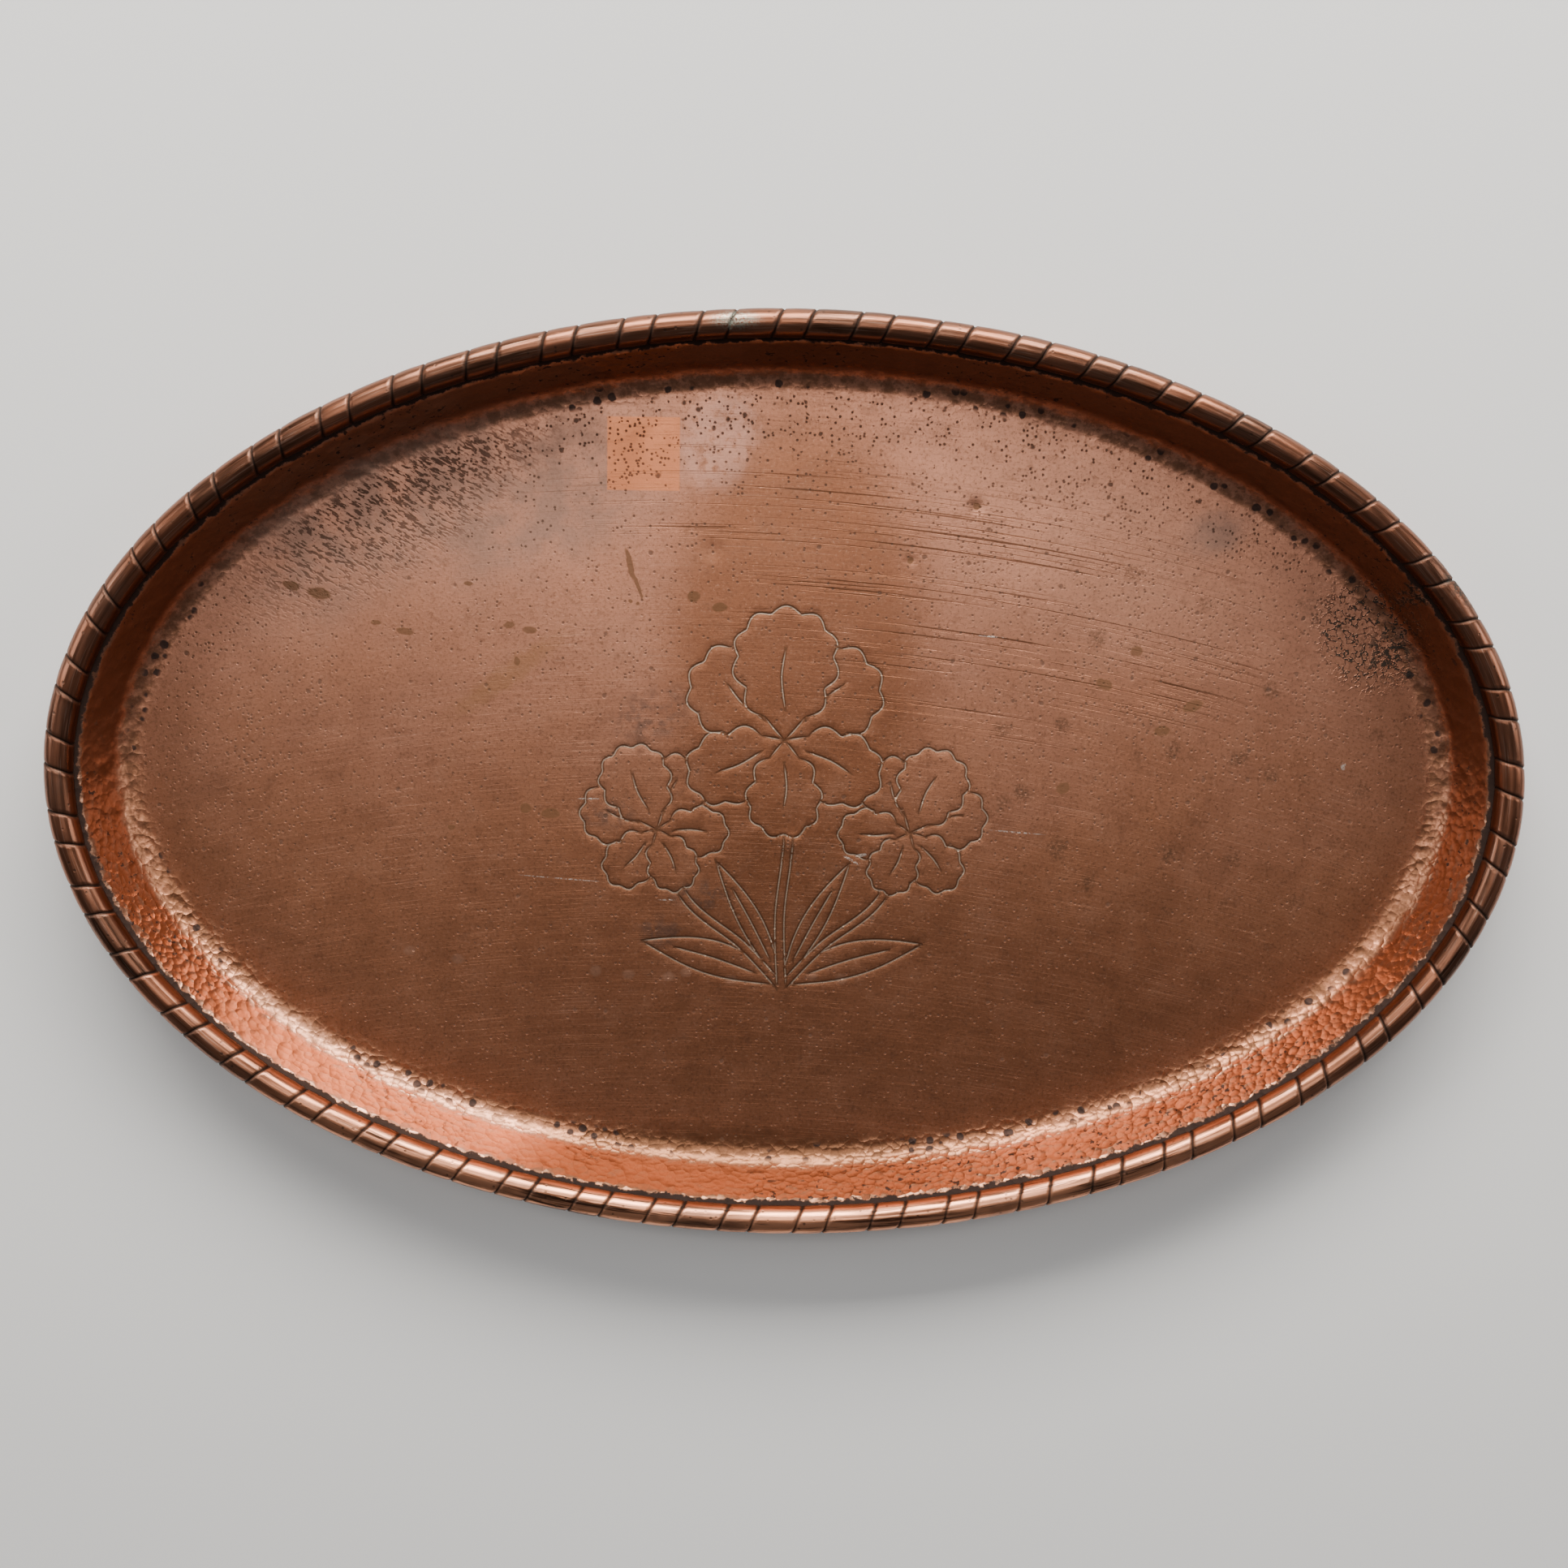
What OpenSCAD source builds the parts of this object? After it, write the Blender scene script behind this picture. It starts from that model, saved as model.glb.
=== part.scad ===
// Oval tray raised from one sheet of copper. Its wall turns out at the top into a
// slit copper tube, the binding, which is dressed over the edge all round and
// stiffened by an iron wire. The tray lies flat: the origin is the centre of its
// underside, +X runs along the oval and +Z points up out of the dish.

/* [Oval] */
// Length over the binding
tray_l = 560; // [420:5:660]
// Width over the binding
tray_w = 352; // [280:2:420]
// Height from the underside to the top of the binding
tray_h = 33.4; // [28:0.2:44]

/* [Sheet] */
// Thickness of the copper sheet
sheet_t = 1; // [0.7:0.1:1.6]
// Slope of the wall above the floor, in degrees
wall_slope = 70; // [60:1:78]
// Radius of the cove between floor and wall
cove_r = 10; // [6:0.5:12]
// Radius of the turn where the wall meets the binding
flare_r = 6; // [4:0.5:8]

/* [Binding] */
// Outside diameter of the slit tube
tube_d = 10.5; // [9:0.1:14]
// Wall of the slit tube
tube_t = 0.8; // [0.6:0.1:1.2]
// Slope at which the sheet enters the tube, in degrees
slit_slope = 38; // [20:1:50]
// Diameter of the iron wire inside the tube
wire_d = 4.8; // [3:0.1:5]

/* [Quality] */
// Stations round the oval
stations = 120; // [48:4:160]

/* [Hidden] */

// Gap between neighbouring pieces, so that their faces never cross
play = 0.06;
// Straight length of sheet between the flare and the tube
lip = 0.8;
// Steps in the cove, in the flare, round the tube, round its bore and round the wire
cove_steps = 6;
flare_steps = 3;
tube_steps = 20;
bore_steps = 12;
wire_steps = 10;

tube_r = tube_d / 2;
bore_r = tube_r - tube_t;
half_t = sheet_t / 2;

// A section is a list of [out, up] points. out is the distance outwards from the
// oval that the binding's outer edge draws, so it is zero or less.
function along(angle) = [cos(angle), sin(angle)];
function arc(centre, r, from, to, steps) =
    [for (i = [0:steps]) centre + r * along(from + (to - from) * i / steps)];

// The sheet's middle line, followed back from the tube's centre: it comes out of
// the slit, turns on flare_c, runs straight down the wall and turns on cove_c
// into the floor.
tube_c = [-tube_r, tray_h - tube_r];
flare_top = tube_c - (tube_r + lip) * along(slit_slope);
flare_c = flare_top + flare_r * along(slit_slope - 90);
wall_top = flare_c + flare_r * along(wall_slope + 90);
wall_run = (wall_top[1] - half_t - cove_r * (1 - cos(wall_slope))) / sin(wall_slope);
wall_foot = wall_top - wall_run * along(wall_slope);
cove_c = wall_foot + cove_r * along(wall_slope + 90);

// The wire lies against the far side of the bore, and the sheet's edge stops at it.
wire_c = tube_c + (bore_r - play - wire_d / 2) * along(slit_slope);
sheet_end = wire_c - (wire_d / 2 + play) * along(slit_slope);

// From the underside's rim, out along the underside, and back over the dish side.
pan_section = concat(
    arc(cove_c, cove_r + half_t, -90, wall_slope - 90, cove_steps),
    arc(flare_c, flare_r - half_t, wall_slope + 90, slit_slope + 90, flare_steps),
    [sheet_end - half_t * along(slit_slope + 90)],
    [sheet_end + half_t * along(slit_slope + 90)],
    arc(flare_c, flare_r + half_t, slit_slope + 90, wall_slope + 90, flare_steps),
    arc(cove_c, cove_r - half_t, wall_slope - 90, -90, cove_steps));

// Half of the slit's width, as an angle at the outside of the tube and at its bore.
slit_at = slit_slope + 180;
slit_out = asin((half_t + play) / tube_r);
slit_in = asin((half_t + play) / bore_r);
binding_section = concat(
    arc(tube_c, tube_r, slit_at + slit_out, slit_at + 360 - slit_out, tube_steps),
    arc(tube_c, bore_r, slit_at + 360 - slit_in, slit_at + slit_in, bore_steps));

wire_section = [for (i = [0:wire_steps - 1]) wire_c + wire_d / 2 * along(360 * i / wire_steps)];

// The point of a section at one station of the oval.
function unit(v) = v / norm(v);
function station(i, p) =
    let (a = 360 * i / stations,
         rim = [tray_l / 2 * cos(a), tray_w / 2 * sin(a)],
         out = unit([tray_w * cos(a), tray_l * sin(a)]))
    [rim[0] + p[0] * out[0], rim[1] + p[0] * out[1], p[1]];

function rings(section) =
    [for (i = [0:stations - 1]) for (p = section) station(i, p)];

// Two triangles for each step of the section between one station and the next.
function skin(count, steps) =
    [for (i = [0:stations - 1]) for (k = [0:steps - 1])
        let (j = (i + 1) % stations,
             m = (k + 1) % count,
             a = i * count + k,
             b = i * count + m,
             c = j * count + m,
             d = j * count + k)
        for (face = [[a, b, c], [a, c, d]]) face];

// A closed section carried round the oval.
module hoop(section) {
    count = len(section);
    polyhedron(rings(section), skin(count, count));
}

// The copper sheet: flat floor, cove, wall and the edge inside the binding.
module tray_pan() {
    count = len(pan_section);
    underside = [for (i = [0:stations - 1]) i * count];
    dish_floor = [for (i = [stations - 1:-1:0]) i * count + count - 1];
    color("#b5694a")
        polyhedron(rings(pan_section), concat(skin(count, count - 1), [underside, dish_floor]));
}

// The slit copper tube that covers the sheet's edge.
module rope_binding() {
    color("#a75c3f") hoop(binding_section);
}

// The iron wire that stiffens the edge, sealed inside the binding.
module core_wire() {
    color("#56524d") hoop(wire_section);
}

tray_pan();
rope_binding();
core_wire();
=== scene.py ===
import math

import bpy
import numpy as np
from mathutils import Matrix, Vector
from mathutils.geometry import delaunay_2d_cdt
from mathutils.kdtree import KDTree


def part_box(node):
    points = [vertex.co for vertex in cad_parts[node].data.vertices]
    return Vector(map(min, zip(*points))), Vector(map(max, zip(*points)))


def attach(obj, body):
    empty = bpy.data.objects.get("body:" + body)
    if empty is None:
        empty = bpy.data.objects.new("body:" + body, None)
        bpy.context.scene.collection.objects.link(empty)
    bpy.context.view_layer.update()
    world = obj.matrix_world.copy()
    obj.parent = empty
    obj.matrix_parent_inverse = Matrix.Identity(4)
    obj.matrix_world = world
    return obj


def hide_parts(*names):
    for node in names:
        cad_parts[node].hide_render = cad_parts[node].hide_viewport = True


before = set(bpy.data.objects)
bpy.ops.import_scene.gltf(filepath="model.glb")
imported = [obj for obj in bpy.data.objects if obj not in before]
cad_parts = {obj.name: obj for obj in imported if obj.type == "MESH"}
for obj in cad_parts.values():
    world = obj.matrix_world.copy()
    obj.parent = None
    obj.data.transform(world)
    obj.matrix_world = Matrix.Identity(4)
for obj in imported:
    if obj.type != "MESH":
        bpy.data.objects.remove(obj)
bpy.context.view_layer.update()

MM = 0.001


# ---------------------------------------------------------------- the stage
# A pale table, one broad soft light beyond the tray, a small one above it and a weak
# one past each end. The camera looks down at the dish, leaned a little to its far side.
def aimed(place, target, lean=0.0):
    """The matrix of a camera or light at place that looks at target, far side up."""
    back = (Vector(place) - Vector(target)).normalized()
    side = Vector((0, 1, 0)).cross(back).normalized()
    up = back.cross(side)
    side, up = (math.cos(lean) * side + math.sin(lean) * up,
                math.cos(lean) * up - math.sin(lean) * side)
    turn = Matrix((side, up, back)).transposed().to_4x4()
    return Matrix.Translation(place) @ turn


rope_low, rope_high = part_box("rope_binding")
tube_r = (rope_high[2] - rope_low[2]) / 2
rim_z = rope_high[2] - tube_r
view_tilt = math.radians(6.5)
view_reach = 0.6765
view_roll = math.radians(0.8)
camera_data = bpy.data.cameras.new("camera")
camera_data.sensor_width = 36
camera_data.lens = 40.994
camera = bpy.data.objects.new("camera", camera_data)
bpy.context.scene.collection.objects.link(camera)
dish_middle = Vector((0, 0, rim_z))
camera_place = dish_middle + view_reach * Vector((0, math.sin(view_tilt), math.cos(view_tilt)))
camera.matrix_world = aimed(camera_place, dish_middle, view_roll)
bpy.context.scene.camera = camera

world = bpy.data.worlds.new("studio_air")
world.use_nodes = True
air = world.node_tree.nodes["Background"]
air.inputs["Color"].default_value = (0.93, 0.95, 1.0, 1)
air.inputs["Strength"].default_value = 0.12
bpy.context.scene.world = world


def softbox(name, place, target, width, depth, watts, tint):
    """One rectangular area light."""
    lamp = bpy.data.lights.new(name, "AREA")
    lamp.shape = "RECTANGLE"
    lamp.size = width
    lamp.size_y = depth
    lamp.energy = watts
    lamp.color = tint
    holder = bpy.data.objects.new(name, lamp)
    holder.matrix_world = aimed(place, target)
    bpy.context.scene.collection.objects.link(holder)


softbox("far_softbox", (0.1, 1.7, 1.0), (0, 0, 0), 2.2, 0.8, 92, (1.0, 0.97, 0.93))
softbox("top_softbox", (-0.10, 0.50, 1.8), (0, 0.1, 0), 1.3, 0.5, 7, (1.0, 0.98, 0.96))
softbox("left_softbox", (-1.9, 0.5, 1.1), (0, 0, 0), 0.8, 0.8, 9, (0.97, 0.98, 1.0))
softbox("right_softbox", (1.9, 0.5, 1.1), (0, 0, 0), 0.8, 0.8, 9, (0.97, 0.98, 1.0))

table_mesh = bpy.data.meshes.new("table")
table_half = 3.0
table_z = -0.0003
table_mesh.from_pydata(
    [(-table_half, -table_half, table_z), (table_half, -table_half, table_z),
     (table_half, table_half, table_z), (-table_half, table_half, table_z)],
    [], [(0, 1, 2, 3)])
table = bpy.data.objects.new("table", table_mesh)
bpy.context.scene.collection.objects.link(table)
table_paint = bpy.data.materials.new("pale_table")
table_paint.use_nodes = True
table_shader = table_paint.node_tree.nodes["Principled BSDF"]
table_shader.inputs["Base Color"].default_value = (0.84, 0.83, 0.81, 1)
table_shader.inputs["Roughness"].default_value = 0.75
table_mesh.materials.append(table_paint)


# ---------------------------------------------------------------- tray pan
# The dish is one sheet of copper, hammered over stakes: a flat floor, a tight cove
# and a flaring wall whose edge turns out into the binding. The wall and cove keep
# the rows of small hammer facets; the floor was smoothed and then engraved.
half_l = rope_high[0]
half_w = rope_high[1]
sheet_t = 1.0 * MM
wall_slope = math.radians(70)
cove_r = 10 * MM
flare_r = 6 * MM
slit_slope = math.radians(38)
lip = 0.8 * MM
pan_stations = 960


def along(angle):
    return np.array([math.cos(angle), math.sin(angle)])


def arc(centre, radius, start, stop, steps):
    return [centre + radius * along(start + (stop - start) * i / steps) for i in range(steps + 1)]


quarter = math.pi / 2
tube_c = np.array([-tube_r, rim_z])
flare_top = tube_c - (tube_r + lip) * along(slit_slope)
flare_c = flare_top + flare_r * along(slit_slope - quarter)
wall_top = flare_c + flare_r * along(wall_slope + quarter)
wall_run = (wall_top[1] - sheet_t / 2 - cove_r * (1 - math.cos(wall_slope))) / math.sin(wall_slope)
wall_foot = wall_top - wall_run * along(wall_slope)
cove_c = wall_foot + cove_r * along(wall_slope + quarter)
sheet_end = tube_c - 0.5 * MM * along(slit_slope)


def sheet_side(offset, cove_steps, wall_steps, flare_steps, seat_steps):
    """One face of the sheet as [out, up] points from the floor to the edge in the tube."""
    cove = arc(cove_c, cove_r - offset, -quarter, wall_slope - quarter, cove_steps)
    flare = arc(flare_c, flare_r + offset, wall_slope + quarter, slit_slope + quarter, flare_steps)
    wall = [cove[-1] + (flare[0] - cove[-1]) * i / wall_steps for i in range(1, wall_steps)]
    end = sheet_end + offset * along(slit_slope + quarter)
    seat = [flare[-1] + (end - flare[-1]) * i / seat_steps for i in range(1, seat_steps + 1)]
    return np.array(cove + wall + flare + seat)


def oval_ring(out, up, stations):
    """The closed ring of points that lies out metres outside the rim's oval, at height up."""
    turn = np.arange(stations) * 2 * math.pi / stations
    east = half_w * np.cos(turn)
    north = half_l * np.sin(turn)
    size = np.hypot(east, north)
    x = half_l * np.cos(turn) + out * east / size
    y = half_w * np.sin(turn) + out * north / size
    return np.stack([x, y, np.full(stations, up)], 1)


cove_steps, wall_steps, flare_steps = 10, 12, 4
dish_side = sheet_side(sheet_t / 2, cove_steps, wall_steps, flare_steps, 3)
outer_side = sheet_side(-sheet_t / 2, 5, 6, 2, 2)
floor_out = cove_c[0]
floor_edge = oval_ring(floor_out, sheet_t, pan_stations)[:, :2]


# The engraved spray, in millimetres on the floor from the middle of the dish: three
# irises of the textbook kind on one foot, each petal a teardrop with a lobed edge.
# A shape that is drawn later lies in front, and hides the cuts that it covers.
def stroke(points, step=0.25):
    """One smooth cut through its points."""
    knots = np.array([points[0]] + list(points) + [points[-1]], float)
    cut = []
    for a, b, c, d in zip(knots, knots[1:], knots[2:], knots[3:]):
        count = max(2, int(np.linalg.norm(c - b) / step))
        for t in np.arange(count) / count:
            cut.append(0.5 * (2 * b + (c - a) * t + (2 * a - 5 * b + 4 * c - d) * t ** 2
                              + (3 * b - a - 3 * c + d) * t ** 3))
    cut.append(knots[-1])
    return np.array(cut)


def frill(points, swell, step=0.25):
    """Round lobes from cusp to cusp, that swell to the left of the way they are read."""
    cut = []
    for start, stop in zip(np.array(points, float), np.array(points, float)[1:]):
        chord = stop - start
        left = np.array([-chord[1], chord[0]])
        count = max(4, int(1.3 * np.linalg.norm(chord) / step))
        for t in np.arange(count) / count:
            cut.append(start + chord * t + swell * math.sin(math.pi * t) * left)
    cut.append(np.array(points[-1], float))
    return np.array(cut)


def leaned(points, foot, lean):
    """Points given along and left of an upright axis, with the axis leaned left by lean degrees."""
    turn = math.radians(lean)
    axis = np.array([-math.sin(turn), math.cos(turn)])
    left = np.array([-math.cos(turn), -math.sin(turn)])
    return [np.array(foot, float) + ahead * axis + aside * left for ahead, aside in points]


def teardrop(length, width, start, stop, count):
    """Points of a teardrop that is pointed at its foot, where the turn is 0 and 2 pi."""
    turns = np.linspace(start, stop, count)
    return [(length * (1 - math.cos(t)) / 2, 0.65 * width * math.sin(t) * math.sin(t / 2)) for t in turns]


def covered(points, shape):
    """Which points lie inside a closed outline."""
    inside = np.zeros(len(points), bool)
    for a, b in zip(shape, np.roll(shape, -1, axis=0)):
        if a[1] != b[1]:
            crossed = (a[1] > points[:, 1]) != (b[1] > points[:, 1])
            crossing = a[0] + (points[:, 1] - a[1]) * (b[0] - a[0]) / (b[1] - a[1])
            inside ^= crossed & (points[:, 0] < crossing)
    return inside


def in_front(drawing, lines, veins=()):
    """The drawing with a new shape before it, whose outline is made of the lines in order."""
    shape = np.concatenate(lines)[::4]
    shortest_run = 9
    shown = []
    for cut in drawing:
        clear = ~covered(cut, shape)
        breaks = np.flatnonzero(np.diff(clear.astype(int))) + 1
        for run, is_clear in zip(np.split(cut, breaks), np.split(clear, breaks)):
            if is_clear[0] and len(run) >= shortest_run:
                shown.append(run)
    return shown + list(lines) + list(veins)


def petal(drawing, foot, lean, length, width, lobes):
    plain = 0.9
    whole = 2 * math.pi
    rising = stroke(leaned(teardrop(length, width, 0.0, plain, 4), foot, lean))
    edge = frill(leaned(teardrop(length, width, plain, whole - plain, lobes + 1), foot, lean), 0.30)
    falling = stroke(leaned(teardrop(length, width, whole - plain, whole, 4), foot, lean))
    vein = stroke(leaned([(0.25 * length, 0), (0.5 * length, 0.04 * width), (0.72 * length, 0)], foot, lean))
    return in_front(drawing, [rising, edge, falling], [vein])


def bloom(drawing, heart, lean, size):
    """Three standing petals, the side ones behind, then two side falls and a hanging one."""
    for aside in (46, -46):
        drawing = petal(drawing, heart, lean + aside, 0.88 * size, 0.66 * size, 8)
    drawing = petal(drawing, heart, lean, size, 0.74 * size, 9)
    for aside in (116, -116):
        drawing = petal(drawing, heart, lean + aside, 0.80 * size, 0.50 * size, 7)
    return petal(drawing, heart, lean + 180, 0.74 * size, 0.52 * size, 8)


def leaf(drawing, foot, lean, length, width, bend):
    sides = []
    for half in (0.5 * width, -0.5 * width):
        shares = np.linspace(0, 1, 7)
        side = [(length * s, half * math.sin(math.pi * s) + bend * s * s) for s in shares]
        sides.append(stroke(leaned(side, foot, lean)))
    vein = [(length * s, bend * s * s) for s in (0.2, 0.5, 0.78)]
    return in_front(drawing, [sides[0], sides[1][::-1]], [stroke(leaned(vein, foot, lean))])


def stem(drawing, points, width):
    middle = stroke(points)
    way = np.gradient(middle, axis=0)
    way /= np.linalg.norm(way, axis=1, keepdims=True)
    aside = 0.5 * width * np.column_stack([-way[:, 1], way[:, 0]])
    return in_front(drawing, [middle + aside, (middle - aside)[::-1]])


spray_foot = (0, -84)
cuts = []
for lean, length, width, bend in ((64, 58, 14, 9), (-64, 58, 14, -9), (24, 56, 9, 4), (-24, 56, 9, -4)):
    cuts = leaf(cuts, spray_foot, lean, length, width, bend)
for side in (-1, 1):
    cuts = stem(cuts, [(side * 50, -24), (side * 38, -50), (side * 16, -68), (side * 1, -84)], 3.2)
cuts = stem(cuts, [(0, 12), (2, -24), (-1, -56), (0, -84)], 3.6)
for heart, lean, size in (((-50, -22), 24, 34), ((50, -22), -24, 34), ((0, 14), 0, 50)):
    cuts = bloom(cuts, heart, lean, size)

# Floor points: the edge ring, rows along each cut, then an even spread between them.
cut_rows = (0.0, -0.4, 0.4, -0.95, 0.95)
row_step = 5
floor_pitch = 2.6
seen = {}
floor_points = []


def keep_point(point, room):
    """Adds a floor point, in millimetres, unless another lies nearer than room."""
    cell = (math.floor(point[0]), math.floor(point[1]))
    reach = math.ceil(room)
    for i in range(cell[0] - reach, cell[0] + reach + 1):
        for j in range(cell[1] - reach, cell[1] + reach + 1):
            for other in seen.get((i, j), ()):
                if (other[0] - point[0]) ** 2 + (other[1] - point[1]) ** 2 < room * room:
                    return
    seen.setdefault(cell, []).append(point)
    floor_points.append(point)


for point in floor_edge / MM:
    keep_point((point[0], point[1]), 0.0)
for row in cut_rows:
    for cut in cuts:
        way = np.gradient(cut, axis=0)
        way /= np.maximum(np.linalg.norm(way, axis=1, keepdims=True), 1e-9)
        beside = cut + row * np.stack([-way[:, 1], way[:, 0]], 1)
        for point in beside[::row_step]:
            keep_point((point[0], point[1]), 0.3)
floor_half = np.array([half_l + floor_out, half_w + floor_out]) / MM
edge_mm = floor_edge / MM
edge_way = np.roll(edge_mm, -1, axis=0) - np.roll(edge_mm, 1, axis=0)
edge_out = np.column_stack([edge_way[:, 1], -edge_way[:, 0]])
edge_out /= np.linalg.norm(edge_out, axis=1, keepdims=True)
edge_tree = KDTree(pan_stations)
for i, point in enumerate(edge_mm):
    edge_tree.insert((point[0], point[1], 0), i)
edge_tree.balance()


def from_edge(point):
    """How far a floor point lies inside the floor's edge, in mm."""
    _, station, _ = edge_tree.find((point[0], point[1], 0))
    return float(np.dot(edge_mm[station] - point[:2], edge_out[station]))


def even_spread(pitch):
    """Points of a triangular grid over the floor, clear of its edge."""
    rows = int(floor_half[1] / (pitch * 0.866)) + 1
    columns = int(floor_half[0] / pitch) + 1
    for j in range(-rows, rows + 1):
        for i in range(-columns, columns + 1):
            point = ((i + 0.5 * (j % 2)) * pitch, j * pitch * 0.866)
            if from_edge(point) > 0.6 * pitch:
                yield point


# Three dents from above and one small knock from below: place, reach and height.
knocks = [((73, 106), 2.6, -0.55), ((3, -27), 3.2, 0.35), ((48, 85), 1.6, -0.25), ((-29, 88), 4.0, -0.25)]
for (x, y), reach, _ in knocks:
    for i in range(-9, 10):
        for j in range(-9, 10):
            keep_point((x + i * reach * 0.28, y + j * reach * 0.28), 0.3)
for point in even_spread(floor_pitch):
    keep_point(point, 1.25)


def spread(points):
    """Triangles over points in the plane, wound anticlockwise from above."""
    corners, _, faces, origins, _, _ = delaunay_2d_cdt([Vector(p) for p in points], [], [], 0, 1e-6, True)
    flat = np.array(corners)
    tris = np.array([f for f in faces if len(f) == 3])
    a, b, c = flat[tris[:, 0]], flat[tris[:, 1]], flat[tris[:, 2]]
    turn = np.cross(b - a, c - a)
    tris[turn < 0] = tris[turn < 0][:, ::-1]
    named = np.array([o[0] for o in origins])
    return named[tris[np.abs(turn) > 1e-7]]


# Depth of the cuts under the floor: a rounded V with a low burr along both sides.
cut_tree = KDTree(sum(len(cut) for cut in cuts))
cut_weight = []
for cut in cuts:
    for i, point in enumerate(cut):
        cut_tree.insert((point[0], point[1], 0), len(cut_weight))
        nearest_end = min(i, len(cut) - 1 - i) * 0.25
        cut_weight.append(0.45 + 0.55 * min(1.0, nearest_end / 4))
cut_tree.balance()
graver_half = 0.46
graver_depth = 0.17
burr_out = 0.85
burr_height = 0.03
top_points = np.array(floor_points)
floor_sink = np.zeros(len(top_points))
graved = np.zeros(len(top_points))
for i in range(pan_stations, len(top_points)):
    near, index, gap = cut_tree.find((top_points[i][0], top_points[i][1], 0))
    if gap < 2.0:
        weight = cut_weight[index]
        floor_sink[i] = weight * (burr_height * math.exp(-((gap - burr_out) / 0.3) ** 2)
                                  - graver_depth * math.exp(-(gap / graver_half * 1.25) ** 2))
        graved[i] = weight * math.exp(-(gap / graver_half) ** 2)
for (x, y), reach, height in knocks:
    away = np.hypot(top_points[:, 0] - x, top_points[:, 1] - y)
    floor_sink += height * np.exp(-(away / reach) ** 2)

under_pitch = 3.6
under_points = list(map(tuple, oval_ring(floor_out, 0, pan_stations)[:, :2] / MM))
under_points.extend(even_spread(under_pitch))

# One closed mesh: floor, rings up the dish side, rings down the outer side, underside.
# "way_up" is the way up the section from the floor's edge, below 0 on the floor;
# "outer" is 1 on the underside and the outer side.
points = [np.column_stack([top_points * MM, sheet_t + floor_sink * MM])]
way_up = [[-from_edge(point) * MM for point in top_points]]
outer = [np.zeros(len(top_points))]
faces = [spread(floor_points)]
total = len(top_points)
ring_ids = [np.arange(pan_stations)]


def section_lengths(section):
    return np.concatenate([[0.0], np.cumsum(np.linalg.norm(np.diff(section, axis=0), axis=1))])


def add_ring(out, up, way, is_outer):
    global total
    points.append(oval_ring(out, up, pan_stations))
    way_up.append(np.full(pan_stations, way))
    outer.append(np.full(pan_stations, is_outer))
    ring_ids.append(np.arange(total, total + pan_stations))
    total += pan_stations


for (out, up), way in zip(dish_side[1:], section_lengths(dish_side)[1:]):
    add_ring(out, up, way, 0.0)
for (out, up), way in zip(outer_side[:0:-1], section_lengths(outer_side)[:0:-1]):
    add_ring(out, up, way, 1.0)
ring_ids.append(np.arange(total, total + pan_stations))
under = np.array(under_points)
points.append(np.column_stack([under * MM, np.zeros(len(under))]))
way_up.append([-from_edge(point) * MM for point in under_points])
outer.append(np.ones(len(under)))
faces.append(spread(under_points)[:, ::-1] + total)
total += len(under)
for low, high in zip(ring_ids, ring_ids[1:]):
    low_next = np.roll(low, -1)
    high_next = np.roll(high, -1)
    faces.append(np.column_stack([low, high_next, low_next]))
    faces.append(np.column_stack([low, high, high_next]))


def mesh_object(name, corners, triangles):
    """A smooth-shaded object made of triangles."""
    mesh = bpy.data.meshes.new(name)
    mesh.from_pydata(corners.tolist(), [], triangles.tolist())
    mesh.polygons.foreach_set("use_smooth", np.ones(len(triangles), bool))
    piece = bpy.data.objects.new(name, mesh)
    bpy.context.scene.collection.objects.link(piece)
    return piece


pan = mesh_object("tray_pan_sheet", np.concatenate(points), np.concatenate(faces))


def store(piece, name, values):
    """Keeps values, one for each point of the mesh, as a named attribute."""
    piece.data.attributes.new(name, "FLOAT", "POINT").data.foreach_set("value", values)


store(pan, "way_up", np.concatenate(way_up))
store(pan, "outer", np.concatenate(outer))
store(pan, "graved", np.concatenate([graved, np.zeros(total - len(graved))]))


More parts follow.
